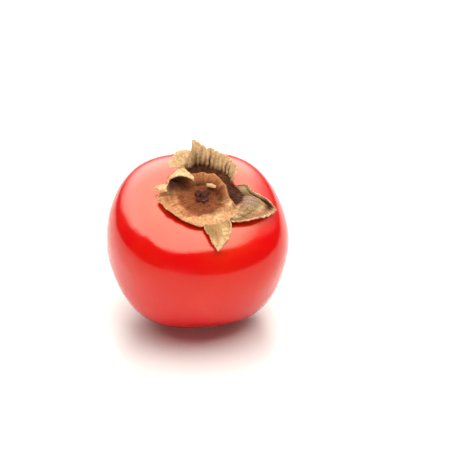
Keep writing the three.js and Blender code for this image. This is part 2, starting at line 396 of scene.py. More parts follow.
@dataclass(frozen=True)
class LeafFinish:
    """Dry, fibrous leaf that has browned unevenly, with shade painted into its hollows and folds.

    Attributes:
        tan: its colour where it has no other tone.
        rosy: tone with red left in it.
        pale: bleached tone of edges and crests.
        ash: greyish tone.
        olive: tone with green left in it.
        brown: browned tone.
        dark: colour of painted shade in hollows, fold bottoms and under overhangs, and of the
            darker floor round the stalk.
        streak: colour of its fibres, veins and fine spots.
        relief: depth of its fibres, in metres.
    """

    tan: Colour = (0.47, 0.27, 0.108)
    rosy: Colour = (0.55, 0.21, 0.085)
    pale: Colour = (0.80, 0.53, 0.285)
    ash: Colour = (0.43, 0.29, 0.24)
    olive: Colour = (0.250, 0.170, 0.055)
    brown: Colour = (0.205, 0.052, 0.017)
    dark: Colour = (0.040, 0.010, 0.004)
    streak: Colour = (0.160, 0.056, 0.014)
    relief: float = 0.0003

    def material(self) -> bpy.types.Material:
        """Builds the material.

        Returns:
            The material, which reads the calyx's own zone attributes.
        """
        s = Finish("dried_leaf")
        where = s.fruit_place()
        fibre = s.attribute("fibre", "Vector")
        along = s.node("Mapping", None, {"Vector": fibre, "Scale": (1, 1, 0.14)})
        streaks = s.noise(along, 1.5, 5.0, 0.25)
        mottle = s.noise(where, 0.7, 5.0, 0.8)
        blots = s.noise(where, 0.28, 3.0, 1.2)
        fine = s.noise(where, 2.6, 4.0)
        net = s.node("Mapping", None, {"Vector": fibre, "Scale": (1.2, 1.2, 1)})
        to_vein = s.cells(net, 1.3, "DISTANCE_TO_EDGE")
        veins = (1 - to_vein.smooth(0.02, 0.16)) * s.attribute("veined")
        colour = s.mix(s.attribute("rosy") * (0.6 + blots * 0.8), self.tan, self.rosy)
        colour = s.mix(s.attribute("ash") * mottle.smooth(0.3, 0.6), colour, self.ash)
        colour = s.mix(s.attribute("brown") * (0.45 + blots * 1.0), colour, self.brown)
        patches = (mottle * 0.7 + fine * 0.3).smooth(0.45, 0.55)
        colour = s.mix(s.attribute("olive") * patches, colour, self.olive)
        colour = s.mix(veins * 0.5, colour, self.streak)
        colour = s.mix(streaks.smooth(0.46, 0.66) * s.attribute("streaked"), colour, self.streak)
        colour = s.mix(s.attribute("pale") * (0.4 + mottle.smooth(0.4, 0.6)), colour, self.pale)
        colour = s.mix(fine.smooth(0.56, 0.72) * 0.55, colour, self.streak)
        # The calyx's darkening tone: mostly painted shade in hollows, fold bottoms and under
        # overhangs, and darker round the stalk.
        stain = s.attribute("stain") * (0.7 + mottle * 0.35 + streaks * 0.25)
        colour = s.mix(stain, colour, self.dark)
        s.dress(Base_Color=colour, Roughness=mottle * 0.3 + 0.55, Specular_IOR_Level=0.12)
        s.bump(streaks * 1.2 + veins * 0.6 + mottle * 0.9 + fine * 0.4, self.relief)
        return s.material


@dataclass(frozen=True)
class WoodFinish:
    """Torn woody fibres of the stalk.

    Attributes:
        fibre: colour of the fibres.
        dark: colour between them.
        torn: colour of their freshly torn ends.
        relief: depth of the fibres, in metres.
    """

    fibre: Colour = (0.11, 0.032, 0.022)
    dark: Colour = (0.030, 0.008, 0.005)
    torn: Colour = (0.19, 0.075, 0.048)
    relief: float = 0.0004

    def material(self) -> bpy.types.Material:
        """Builds the material.

        Returns:
            The material, streaked along the fibres with pale torn ends.
        """
        s = Finish("stalk_wood")
        where = s.fruit_place()
        along = s.node("Mapping", None, {"Vector": where, "Scale": (1, 1, 0.25)})
        fibres = s.noise(along, 2.2, 6.0, 0.8)
        colour = s.mix(fibres.smooth(0.38, 0.62), self.dark, self.fibre)
        colour = s.mix(s.noise(where, 1.4, 3.0).smooth(0.62, 0.76), colour, self.torn)
        s.dress(Base_Color=colour, Roughness=fibres * 0.25 + 0.62, Specular_IOR_Level=0.15)
        s.bump(fibres, self.relief)
        return s.material


@dataclass(frozen=True)
class StyleFinish:
    """Hard dried point of the flower's style.

    Attributes:
        brown: its colour.
        black: colour of its patches.
        relief: depth of the patches, in metres.
    """

    brown: Colour = (0.05, 0.024, 0.014)
    black: Colour = (0.012, 0.007, 0.006)
    relief: float = 0.0002

    def material(self) -> bpy.types.Material:
        """Builds the material.

        Returns:
            The material, brown with a blackened, rough surface.
        """
        s = Finish("style_point")
        where = s.fruit_place()
        patches = s.noise(where, 2.0, 4.0)
        colour = s.mix(patches.smooth(0.4, 0.6), self.brown, self.black)
        s.dress(Base_Color=colour, Roughness=patches * 0.3 + 0.5)
        s.bump(patches, self.relief)
        return s.material


@dataclass(frozen=True)
class FloorFinish:
    """Plain white sweep that the fruit lies on, lit on its own far behind the fruit.

    Attributes:
        white: its colour.
        roughness: of its surface.
        far: distances from the fruit between which its own light sets in, in metres.
        light: strength of that light, which falls on nothing else.
    """

    white: Colour = (0.74, 0.74, 0.74)
    roughness: float = 0.35
    far: tuple[float, float] = (0.45, 0.9)
    light: float = 0.7

    def material(self) -> bpy.types.Material:
        """Builds the material.

        Returns:
            The material, plain white, and bright far from the fruit.
        """
        s = Finish("white_floor")
        where = s.node("TexCoord", None, None, "Object")
        away = s.node("VectorMath", {"operation": "LENGTH"}, {0: where}, "Value")
        glow = s.mix(away.smooth(*self.far) * s.ray("Camera"), (0.0, 0.0, 0.0), self.white)
        s.dress(Base_Color=self.white, Roughness=self.roughness)
        s.dress(Emission_Color=glow, Emission_Strength=self.light)
        return s.material


# ---------------------------------------------------------------- meshes


@dataclass(frozen=True)
class Piece:
    """A piece's name, material slot and material, and how its mesh is finished."""

    name: str
    slot: Slot
    material: bpy.types.Material

    def finish(self, bm: bmesh.types.BMesh, *replaced: str) -> bpy.types.Object:
        """Leans a mesh into place and makes it a piece of the part.

        Args:
            bm: the mesh in the fruit's frame, freed here.
            replaced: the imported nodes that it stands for.

        Returns:
            The new object.
        """
        for vert in bm.verts:
            vert.co = LEAN.place(vert.co)
        data = bpy.data.meshes.new(self.name)
        bm.to_mesh(data)
        bm.free()
        data.polygons.foreach_set("use_smooth", [True] * len(data.polygons))
        data.materials.append(self.material)
        made = bpy.data.objects.new(self.name, data)
        bpy.context.scene.collection.objects.link(made)
        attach(made, "root")
        if replaced:
            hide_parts(*replaced)
        LOG.info("%s: %d faces", self.name, len(data.polygons))
        return made


def face_up(bm: bmesh.types.BMesh) -> None:
    """Turns the faces of an open sheet alike, on the whole upwards."""
    bmesh.ops.recalc_face_normals(bm, faces=bm.faces)
    if sum(face.normal.z for face in bm.faces) < 0:
        bmesh.ops.reverse_faces(bm, faces=bm.faces)


def thicken(sheet: bpy.types.Object, thickness: float) -> bpy.types.Object:
    """Thickens a sheet downwards.

    Args:
        sheet: the finished sheet.
        thickness: in millimetres.

    Returns:
        The same sheet.
    """
    shell = sheet.modifiers.new("thickness", "SOLIDIFY")
    shell.thickness = thickness * MM
    shell.offset = -1
    return sheet


def polar_sheet(
    columns: int, rows: int, place: Callable[[float, float], Vector]
) -> bmesh.types.BMesh:
    """Makes a round sheet from a grid that is wrapped round the axis.

    Args:
        columns: cells round the axis.
        rows: cells from the middle out.
        place: gives the point at an azimuth and a share from 0 at the middle to 1 at the edge.

    Returns:
        The sheet, facing up, with its azimuth and share kept as vertex attributes.
    """
    bm = bmesh.new()
    azimuths = bm.verts.layers.float.new("azimuth")
    shares = bm.verts.layers.float.new("share")
    bmesh.ops.create_grid(bm, x_segments=columns, y_segments=rows, size=0.5)
    for vert in bm.verts:
        vert[azimuths] = (vert.co.x + 0.5) * 360
        vert[shares] = vert.co.y + 0.5
        vert.co = place(vert[azimuths] % 360, vert[shares])
    bmesh.ops.remove_doubles(bm, verts=bm.verts, dist=SEAM)
    face_up(bm)
    return bm


# ---------------------------------------------------------------- the body


@dataclass(frozen=True)
class Body:
    """The squat body: two superellipses with rounded corners and a hollow at each end.

    Attributes:
        radius: the half-width at the middle.
        top: height and squareness of the upper end, and how far its corners stand out.
        base: the same of the lower end.
        corners: how many rounded corners there are.
        corner_at: azimuth of one of them.
        corner_swell: share of the radius that they stand out at the middle.
        basin: depth and radius of the hollow round the calyx.
        dimple: depth and radius of the hollow at the blossom end.
        furrow_depth: depth of the creases of the blossom end.
        furrow_reach: how far out they are deepest.
        furrow_half_width: their half-width in degrees.
        waves: size and pitch of the slow unevenness of the skin.
        cells: grid cells along an edge of the cube that the skin is made from.
    """

    radius: float = 38.2
    top: tuple[float, float, float] = (29.6, 2.76, 0.042)
    base: tuple[float, float, float] = (34.0, 2.05, 0.052)
    corners: int = 4
    corner_at: float = -35.0
    corner_swell: float = 0.008
    basin: tuple[float, float] = (5.5, 13.0)
    dimple: tuple[float, float] = (3.0, 7.0)
    furrow_depth: float = 0.9
    furrow_reach: float = 15.0
    furrow_half_width: float = 13.0
    waves: tuple[float, float] = (0.10, 0.04)
    cells: int = 90

    def corner_factor(self, azimuth: float, share: float, swell: float) -> float:
        """How far an end stands out, as a factor, at an azimuth and a share of the radius."""
        most = (self.corner_swell + swell * 4 * (1 - share**2)) * share**2
        return 1 + most * cos_deg(self.corners * (azimuth - self.corner_at))

    def shoulder_height(self, rho: float, azimuth: float) -> float:
        """Height of the upper skin."""
        height, squareness, swell = self.top
        reached = rho / self.radius
        share = min(reached / self.corner_factor(azimuth, reached, swell), 1.0)
        depth, radius = self.basin
        return height * (1 - share**squareness) ** (1 / squareness) - depth * hump(rho, radius)

    def furrows(self, rho: float, azimuth: float) -> float:
        """Depth of the creases of the blossom end, which lie between the corners."""
        middle = azimuth - self.corner_at - 180 / self.corners
        nearest = turn(0, middle * self.corners) / self.corners
        along = rho / self.furrow_reach
        beside = hump(nearest, self.furrow_half_width)
        return self.furrow_depth * 2 * along * hump(along, 1.0) * beside

    def skin_point(self, direction: Vector) -> Vector:
        """Point of the skin in a direction from the middle of the body."""
        out = math.hypot(direction.x, direction.y)
        azimuth = math.degrees(math.atan2(direction.y, direction.x))
        height, squareness, swell = self.top if direction.z > 0 else self.base
        spread = (out / self.radius) ** squareness + (abs(direction.z) / height) ** squareness
        reach = spread ** (-1 / squareness)
        rho = reach * out * self.corner_factor(azimuth, reach * out / self.radius, swell)
        if direction.z > 0:
            hollow = -self.basin[0] * hump(rho, self.basin[1])
        else:
            hollow = self.dimple[0] * hump(rho, self.dimple[1]) + self.furrows(rho, azimuth)
        point = polar(rho, azimuth, reach * direction.z + hollow)
        size, pitch = self.waves
        return point + direction * size * grain(*(point * pitch))

    def build(self, material: bpy.types.Material) -> bpy.types.Object:
        """Builds the skin from an evenly divided cube.

        Args:
            material: the skin's finish.

        Returns:
            The piece.
        """
        bm = bmesh.new()
        bmesh.ops.create_cube(bm, size=2.0)
        bmesh.ops.subdivide_edges(bm, edges=bm.edges, cuts=self.cells - 1, use_grid_fill=True)
        for vert in bm.verts:
            even = Vector(math.tan(axis * math.pi / 4) for axis in vert.co)
            vert.co = self.skin_point(even.normalized())
        bmesh.ops.recalc_face_normals(bm, faces=bm.faces)
        return Piece("fruit_skin", Slot.SKIN, material).finish(bm, "fruit")


# ---------------------------------------------------------------- the calyx


TONES = ("stain", "brown", "pale", "olive", "rosy", "ash", "veined", "streaked")


@dataclass(frozen=True)
class Mark:
    """A soft round place on the calyx that is raised or toned.

    Attributes:
        at: its middle, as azimuth and rho on the disc, or across and outwards on a lobe.
        width: its half-widths in the same two directions.
        height: how far it is raised, in millimetres.
        tones: how much it adds to tones.
    """

    at: tuple[float, float]
    width: tuple[float, float]
    height: float = 0.0
    tones: Mapping[str, float] = field(default_factory=dict)

    def _weight(self, off: float, along: float) -> float:
        """Strength at a distance from its middle one way and at a place the other way."""
        return hump(off, self.width[0]) * hump(along - self.at[1], self.width[1])

    def on_disc(self, azimuth: float, rho: float) -> float:
        """Strength of a mark of the disc at a place."""
        return self._weight(turn(self.at[0], azimuth), rho)

    def on_lobe(self, across: float, outwards: float) -> float:
        """Strength of a lobe's mark at a place."""
        return self._weight(across - self.at[0], outwards)

    def add_tones(self, tones: dict[str, float], strength: float) -> None:
        """Adds its tones, at a strength, to those of a place."""
        for name, added in self.tones.items():
            tones[name] += added * strength


@dataclass(frozen=True)
class Lobe:
    """One lobe of the calyx, which grows from the rim between two azimuths.

    Attributes:
        span: azimuths of its start, tip and end.
        spine: control points outwards and upwards from the rim.
        fullness: shape of its two sides, straight at 1 and rounder below.
        edge: share of the length that the two ends of its base keep.
        shoulder: share that it keeps beside its tip.
        tip_width: share of its half-width that its point takes up.
        swing: turn along the rim at its start, tip and end.
        ripple: height and number of its waves.
        pleats: height and number of its fine folds.
        curl: how far its edge turns up, in millimetres.
        torn: raggedness of its edge.
        base: how far out the painted shade at its base reaches, and how dark it is.
        furrowed: how dark the painted shade in the bottoms of its fine folds is.
        rims: paleness of its two edges.
        tones: strengths of its tones.
        marks: its own raised or toned places.
    """

    span: tuple[float, float, float]
    spine: tuple[tuple[float, float], ...]
    fullness: tuple[float, float]
    edge: tuple[float, float] = (0.0, 0.0)
    shoulder: float = 1.0
    tip_width: float = 0.13
    swing: tuple[float, float, float] = (0.0, 0.0, 0.0)
    ripple: tuple[float, float] = (0.0, 1.0)
    pleats: tuple[float, float] = (0.0, 1.0)
    curl: float = 0.0
    torn: float = 0.03
    base: tuple[float, float] = (0.2, 0.2)
    furrowed: float = 0.1
    rims: tuple[float, float] = (0.9, 0.9)
    tones: Mapping[str, float] = field(default_factory=dict)
    marks: tuple[Mark, ...] = ()

    def across(self, azimuth: float) -> float | None:
        """Place across the lobe from -1 to 1 with 0 at its tip, or None beside it."""
        start, tip, end = self.span
        off = turn(tip, azimuth)
        share = off / (tip - start if off < 0 else end - tip)
        return share if abs(share) <= 1 else None

    def reach(self, across: float) -> float:
        """Share of the spine that the lobe keeps at a place across it."""
        side = 0 if across < 0 else 1
        share = lerp(self.edge[side], 1, (1 - abs(across)) ** self.fullness[side])
        return share * lerp(self.shoulder, 1, hump(across, self.tip_width))

    def fold(self, across: float, outwards: float) -> float:
        """Height of its fine folds, between -1 and 1."""
        drift = 3 * grain(across * 2.5, outwards * 1.5) + 1.5 * grain(across * 9, outwards * 3)
        return math.sin(self.pleats[1] * math.pi * across + drift)

    def spine_at(self, share: float) -> tuple[float, float, float]:
        """Point of the spine outwards and upwards from the rim, and its slope in radians."""
        a, b, c, d = (Vector(point) for point in self.spine)
        rest = 1 - share
        point = a * rest**3 + 3 * b * rest**2 * share + 3 * c * rest * share**2 + d * share**3
        pull = (b - a) * rest**2 + 2 * (c - b) * rest * share + (d - c) * share**2
        return point.x, point.y, math.atan2(pull.y, pull.x)


# Marks of the lobes that add darkness paint shade: at the fan's foot, at the skirt's inner foot and
# in the hollow beside the tongue's left side.
FAN = Lobe(
    span=(38, 105, 124),
    spine=((0, 0), (1.3, 0.2), (1.2, 5), (6.6, 9.6)),
    fullness=(0.14, 0.5),
    edge=(0.15, 0.18),
    shoulder=0.84,
    swing=(2, 0, 0),
    ripple=(0.45, 7),
    pleats=(0.26, 21),
    torn=0.07,
    base=(0.4, 0.6),
    furrowed=0.7,
    rims=(0.9, 0.7),
    tones={"streaked": 0.7, "olive": 0.25, "pale": 1.0},
    marks=(
        Mark((-0.02, 0.25), (0.3, 0.55), 0.0, {"stain": 0.5, "pale": -0.5}),
        Mark((-0.35, 0.2), (0.35, 0.3), 0.0, {"brown": 0.5, "pale": -0.4}),
        Mark((-0.75, 0.85), (0.35, 0.4), 0.3, {"pale": 0.5, "streaked": -0.2}),
        Mark((0.0, 0.95), (0.5, 0.4), 0.0, {"pale": 0.2, "streaked": -0.2}),
        Mark((-0.35, 0.5), (0.12, 0.4), -0.4, {}),
        Mark((0.5, 0.6), (0.2, 0.5), 0.5, {}),
    ),
)
CURL = Lobe(
    span=(125, 138, 168),
    spine=((0, 0), (1, 1.3), (-4, 2.3), (-8, 0.8)),
    fullness=(0.45, 0.8),
    swing=(0, -10, 0),
    ripple=(0.2, 3),
    pleats=(0.08, 7),
    base=(0.25, 0.5),
    tones={"olive": 0.6, "streaked": 0.2, "pale": 0.5},
    marks=(Mark((0.0, 0.95), (0.7, 0.35), 0.0, {"pale": 0.9, "olive": -0.4}),),
)
SPIKE = Lobe(
    span=(168, 175, 182),
    spine=((0, 0), (1.5, 0.1), (3, 0.1), (4.9, -1.2)),
    fullness=(1, 1),
    tones={"pale": 0.7},
)
SKIRT = Lobe(
    span=(182, 190, 230),
    spine=((0, 0), (1.2, 0), (2.4, -0.4), (3.7, -1.9)),
    fullness=(0.6, 1.2),
    edge=(0.3, 0),
    ripple=(0.3, 5),
    torn=0.15,
    tones={"pale": 0.25, "rosy": 0.9, "brown": 0.2, "streaked": 0.3},
    marks=(
        Mark((-0.5, 0.1), (0.6, 0.5), 0, {"olive": 0.6, "brown": 1, "pale": -1, "stain": 0.25}),
    ),
)
TONGUE = Lobe(
    span=(270, 285, 306),
    spine=((0, 0), (3, 0.3), (7, 0), (10.4, -3)),
    fullness=(0.85, 0.62),
    edge=(0.05, 0.05),
    swing=(0, -3.5, 0),
    ripple=(0.3, 3),
    pleats=(0.1, 9),
    curl=0.5,
    torn=0.08,
    rims=(0.5, 0.9),
    tones={"olive": 0.75, "veined": 0.5, "pale": 0.1, "streaked": 0.2},
    marks=(
        Mark((0.0, 1.0), (0.5, 0.3), 0.3, {"pale": 0.8}),
        Mark((0.05, 0.25), (0.35, 0.3), 0.3, {"olive": 0.4}),
        Mark((0.55, 0.5), (0.25, 0.35), 0.0, {"pale": 0.8, "olive": -0.3}),
        Mark((-0.1, 0.6), (0.2, 0.15), 0.0, {"rosy": 0.8}),
        Mark((-0.45, 0.55), (0.2, 0.5), -0.35, {"stain": 0.15}),
    ),
)
# Marks of the blade that add darkness paint shade in the crease under its upper hump, along the
# inside of its turned-up upper edge, near its tip and along the line above its lower lip.
BLADE = Lobe(
    span=(311, 357, 387),
    spine=((0, 0), (4, 0.9), (9, 0.6), (14.4, -5.2)),
    fullness=(0.95, 2.6),
    edge=(0.08, 0.24),
    swing=(0, 0, -4),
    ripple=(0.4, 3),
    pleats=(0.1, 13),
    curl=0.7,
    torn=0.06,
    base=(0.3, 0.3),
    rims=(1.0, 0.8),
    tones={"olive": 0.55, "veined": 0.8, "ash": 0.5, "streaked": 0.15},
    marks=(
        Mark((0.36, 0.1), (0.16, 0.5), -0.8, {"stain": 0.85}),
        Mark((0.75, 0.5), (0.22, 0.5), 0.5, {"pale": 0.5, "olive": 0.2}),
        Mark((0, 0.28), (0.32, 0.2), 0.4, {"ash": 1.6, "pale": -0.2, "olive": -0.8, "stain": -0.2}),
        Mark((-0.4, 0.4), (0.22, 0.2), 0.2, {"olive": 1.0}),
        Mark((-0.12, 0.68), (0.2, 0.12), 0.0, {"olive": 0.3, "pale": 0.6}),
        Mark((0.34, 0.74), (0.28, 0.05), -0.6, {"stain": 2.0}),
        Mark((0.04, 0.84), (0.13, 0.06), -0.3, {"stain": 1.6}),
        Mark((0.25, 0.92), (0.4, 0.09), 0.3, {"rosy": 1.3, "pale": 0.4, "olive": -0.6}),
        Mark(
            (-0.45, 0.86), (0.3, 0.1), 0.2,
            {"rosy": 1.3, "pale": -0.5, "brown": 0.35, "olive": -0.6},
        ),
        Mark((-0.68, 0.12), (0.2, 0.25), 0.0, {"pale": 0.8, "olive": -0.3}),
        Mark((-0.5, 0.56), (0.35, 0.035), -0.15, {"stain": 0.5}),
        Mark((-0.04, 1.0), (0.14, 0.25), 0.0, {"rosy": 1.6, "pale": -0.5, "brown": 0.2}),
    ),
)


@dataclass(frozen=True)
class Calyx:
    """The dried disc with its collar, and the lobes that grow from its rim.

    Attributes:
        body: what it lies on.
        lobes: in the order of their azimuths.
        gap: clearance over the skin.
        thickness: of the leaf.
        floor: height of the disc round the stalk.
        rim_radius: radius of the rim.
        rim_shift: how far the rim's middle is off the axis.
        rim_shift_at: towards which azimuth.
        rim_height: height of the rim.
        rim_rise: how much higher it stands at its highest.
        rim_rise_at: azimuth of that place.
        notch: azimuth, half-width and depth of the place where a piece of the rim is gone.
        lip: bare edge between the lobes.
        lip_wave: how much the edge's unevenness raises the lip.
        scar_shift: how far off the axis the middle of the disc lies, towards +X.
        collar_radius: radius of the raised ring's crest.
        collar_shift: how far the ring's middle is off the axis.
        collar_shift_at: towards which azimuth.
        collar_widths: of its rise on the inside and its fall on the outside.
        collar_height: mean height of its crest over the floor.
        collar_swell: how much that height varies round the ring.
        collar_highest: azimuth at which it is highest.
        merges_at: azimuth round which the collar runs out into the rim.
        merge_range: cosines of the angle from there between which it does.
        ear: azimuth, half-width and reach of the ear at the collar's side.
        edge_waves: size, number round the rim and phase of the waves of the dried edge.
        shaded_at: azimuth of the middle of the side that the fan overhangs, which is painted in
            shade.
        shade: cosines of the angle from there between which the painted shade sets in.
        valley: how far outside the crest the painted shade of the hollow starts and is darkest.
        bowl: how far from the crest, inside and outside, the disc's inner tones end.
        marks: raised or toned places of the disc.
        columns: cells of the sheet round the axis.
        disc_rows: cells from the middle to the rim.
        lobe_rows: cells from the rim to the edge.
    """

    body: Body
    lobes: tuple[Lobe, ...] = (FAN, CURL, SPIKE, SKIRT, TONGUE, BLADE)
    gap: float = 0.3
    thickness: float = 0.6
    floor: float = 28.1
    rim_radius: float = 14.9
    rim_shift: float = 0.5
    rim_shift_at: float = 170.0
    rim_height: float = 29.1
    rim_rise: float = 1.8
    rim_rise_at: float = 178.0
    notch: tuple[float, float, float] = (33.0, 9.0, 2.0)
    lip: float = 0.9
    lip_wave: float = 0.25
    scar_shift: float = STALK_SHIFT
    collar_radius: float = 9.6
    collar_shift: float = 1.2
    collar_shift_at: float = 150.0
    collar_widths: tuple[float, float] = (3.8, 2.1)
    collar_height: float = 2.1
    collar_swell: float = 1.2
    collar_highest: float = 50.0
    merges_at: float = 198.0
    merge_range: tuple[float, float] = (0.25, 0.85)
    ear: tuple[float, float, float] = (338.0, 15.0, 3.4)
    edge_waves: tuple[tuple[float, int, float], ...] = ((0.5, 7, 40), (0.3, 13, 0), (0.2, 23, 100))
    shaded_at: float = 62.0
    shade: tuple[float, float] = (0.2, 0.5)
    valley: tuple[float, float] = (0.3, 1.5)
    bowl: tuple[float, float] = (0.6, 0.8)
    # Marks that add darkness paint shade under the curl, along the left inner wall, under the
    # collar's edge, in the groove of the ring and in the gap between the collar and the blade;
    # those near the stalk make it darker there.
    marks: tuple[Mark, ...] = (
        Mark((207, 13.0), (36, 2.0), 0.1, {"brown": -0.9, "pale": 0.15}),
        Mark((184, 10.2), (20, 1.9), 0.0, {"rosy": 0.4, "brown": 0.45}),
        Mark((158, 13.4), (24, 3.4), -0.3, {"stain": 0.95, "olive": 0.5}),
        Mark((150, 9.4), (20, 3.4), -0.5, {"stain": 0.6, "brown": 0.4}),
        Mark((178, 14.3), (20, 1.5), -0.2, {"olive": 0.6, "brown": 0.9, "pale": -1, "stain": 0.3}),
        Mark((271, 8.5), (44, 1.6), -0.35, {"brown": 0.9, "stain": 0.3, "pale": -0.3}),
        Mark((324, 7.5), (15, 1.3), -0.2, {"brown": 0.6}),
        Mark((347, 8.6), (10, 1.2), 0.0, {"brown": -0.5, "pale": 0.2}),
        Mark((53, 5.5), (14, 2.4), 0.3, {"stain": 0.5}),
        Mark((102, 7.0), (28, 0.8), -0.7, {"stain": 0.85}),
        Mark((74, 8.5), (58, 2.0), 0.5, {"brown": -0.9}),
        Mark((20, 6.2), (16, 1.2), -0.5, {"brown": 0.3, "stain": 0.3}),
        Mark((350, 6.4), (12, 1.0), -0.4, {"olive": 0.6, "brown": 0.4, "stain": 0.3}),
        Mark((338, 10.6), (12, 1.2), 0.2, {"pale": 0.7, "brown": -0.8, "stain": -0.5}),
        Mark((300, 12.5), (12, 1.5), 0.4, {"pale": 0.4}),
        Mark((240, 13.0), (24, 1.4), 0.35, {"rosy": 0.5}),
        Mark((0, 12.2), (19, 1.8), -0.6, {"stain": 1.5}),
    )
    columns: int = 540
    disc_rows: int = 46
    lobe_rows: int = 34

    def rim(self, azimuth: float) -> float:
        """Radius of the rim."""
        at, half_width, depth = self.notch
        whole = self.rim_radius + self.rim_shift * cos_deg(azimuth - self.rim_shift_at)
        return whole - depth * hump(turn(at, azimuth), half_width)

    def rim_top(self, azimuth: float) -> float:
        """Height of the rim."""
        return self.rim_height + self.rim_rise * max(0.0, cos_deg(azimuth - self.rim_rise_at)) ** 2

    def merge(self, azimuth: float) -> float:
        """How far the collar has run out into the rim, from 0 to 1."""
        return smooth(cos_deg(azimuth - self.merges_at), *self.merge_range)

    def crest(self, azimuth: float) -> float:
        """Radius of the collar's crest."""
        at, half_width, reach = self.ear
        ring = self.collar_radius + self.collar_shift * cos_deg(azimuth - self.collar_shift_at)
        free = ring + reach * hump(turn(at, azimuth), half_width)
        return lerp(free, self.rim(azimuth) - 1, self.merge(azimuth))

    def disc_height(self, rho: float, azimuth: float) -> float:
        """Upper face of the disc, from the stalk out to the rim."""
        merged = self.merge(azimuth)
        crest = self.crest(azimuth)
        swell = self.collar_height + self.collar_swell * cos_deg(azimuth - self.collar_highest)
        top = lerp(self.floor + swell, self.rim_top(azimuth), merged)
        rise, fall = self.collar_widths
        inner = lerp(self.floor, top, smooth(rho, crest - lerp(rise, crest - 4, merged), crest))
        return lerp(inner, self.rim_top(azimuth), smooth(rho, crest, crest + fall))

    def lobe_at(self, azimuth: float) -> tuple[Lobe | None, float]:
        """The lobe at an azimuth and the place across it."""
        for lobe in self.lobes:
            across = lobe.across(azimuth)
            if across is not None:
                return lobe, across
        return None, 0.0

    def unevenness(self, azimuth: float) -> float:
        """Unevenness of the dried edge, between about -1 and 1."""
        waves = self.edge_waves
        return sum(size * cos_deg(count * azimuth + phase) for size, count, phase in waves)

    def lobe_point(self, azimuth: float, outwards: float) -> Vector:
        """Point of the upper face beyond the rim.

        Args:
            azimuth: where it leaves the rim.
            outwards: from 0 at the rim to 1 at the edge.

        Returns:
            The point.
        """
        lobe, across = self.lobe_at(azimuth)
        out, slope = 0.0, 0.0
        up = self.lip_wave * self.unevenness(azimuth) * outwards
        heading = azimuth
        if lobe:
            coarse, fine = grain(azimuth * 0.35, 3.1), grain(azimuth * 1.1, 7.7)
            torn = 1 + lobe.torn * coarse + lobe.torn * 0.6 * fine
            x, y, slope = lobe.spine_at(min(lobe.reach(across) * outwards * torn, 1.0))
            size, count = lobe.ripple
            relief = size * math.sin(count * math.pi * across) * outwards
            relief += lobe.pleats[0] * lobe.fold(across, outwards) * smooth(outwards, 0.0, 0.25)
            relief += 0.3 * grain(azimuth * 0.12, outwards * 2.2, 5.0) * outwards
            relief += lobe.curl * smooth(outwards, 0.74, 1.0)
            relief += sum(mark.height * mark.on_lobe(across, outwards) for mark in lobe.marks)
            out = x - math.sin(slope) * relief
            up += y + math.cos(slope) * relief
            ends = lobe.swing[0] if across < 0 else lobe.swing[2]
            heading += lerp(lobe.swing[1], ends, abs(across)) * outwards
        out += self.lip * max(0.0, math.cos(slope)) * outwards
        return polar(self.rim(azimuth) + out, heading, self.rim_top(azimuth) + up)

    def wrinkles(self, rho: float, azimuth: float) -> float:
        """Relief of the dried disc."""
        x, y = 6 * cos_deg(azimuth), 6 * cos_deg(azimuth - 90)
        radial = grain(x * 0.7, y * 0.7, rho * 0.09) * smooth(rho, 3, 9)
        lumps = grain(*(polar(rho, azimuth, 3.0) * 0.42))
        fine = grain(*(polar(rho, azimuth, 1.0) * 1.3))
        raised = sum(mark.height * mark.on_disc(azimuth, rho) for mark in self.marks)
        return 0.6 * radial + 0.6 * lumps + 0.3 * fine + raised

    def top_point(self, azimuth: float, share: float) -> Vector:
        """Point of the upper face at an azimuth and a share of the grid's rows."""
        row = share * (self.disc_rows + self.lobe_rows)
        rim = self.rim(azimuth)
        fade = 1.0
        if row <= self.disc_rows:
            rho = rim * row / self.disc_rows
            top = self.disc_height(rho, azimuth) + self.wrinkles(rho, azimuth)
            point = polar(rho, azimuth, top)
            fade = 1 - (rho / rim) ** 2
            point.x += self.scar_shift * fade
        else:
            outwards = (row - self.disc_rows) / self.lobe_rows
            point = self.lobe_point(azimuth, outwards)
            point.z += self.wrinkles(rim, azimuth) * (1 - outwards)
        where = math.degrees(math.atan2(point.y, point.x))
        skin = self.body.shoulder_height(math.hypot(point.x, point.y), where)
        point.z = max(point.z, skin + self.gap + self.thickness)
        return point

    def disc_tones(self, rho: float, azimuth: float) -> dict[str, float]:
        """Tones of the disc.

        Args:
            rho: distance from the axis.
            azimuth: where round the axis.

        Returns:
            The strength of each tone.
        """
        crest = self.crest(azimuth)
        made = dict.fromkeys(TONES, 0.0)
        # Painted shade on the side that the fan overhangs, deepest in the hollow outside the
        # collar.
        shaded = smooth(cos_deg(azimuth - self.shaded_at), *self.shade)
        starts, darkest = self.valley
        valley = smooth(rho, crest + starts, crest + darkest) * shaded
        near = hump(rho, 5.4 + 1.3 * math.sin(math.radians(azimuth * 3 + 20)))
        inside, beyond = self.bowl
        outside = smooth(rho, crest - inside, crest + beyond)
        # That painted shade darkens and browns the hollow and keeps the rim there from paling; the
        # floor round the stalk is darker too.
        made["stain"] = max(0.9 * valley, 0.5 * near)
        made["brown"] = 0.8 * (1 - outside) + 0.35 * hump(rho, 8.0) + 0.6 * valley
        made["rosy"] = 0.9 - 0.3 * outside
        made["pale"] = 0.3 * outside * (1 - shaded)
        made["streaked"] = 0.55
        for mark in self.marks:
            mark.add_tones(made, mark.on_disc(azimuth, rho))
        return made

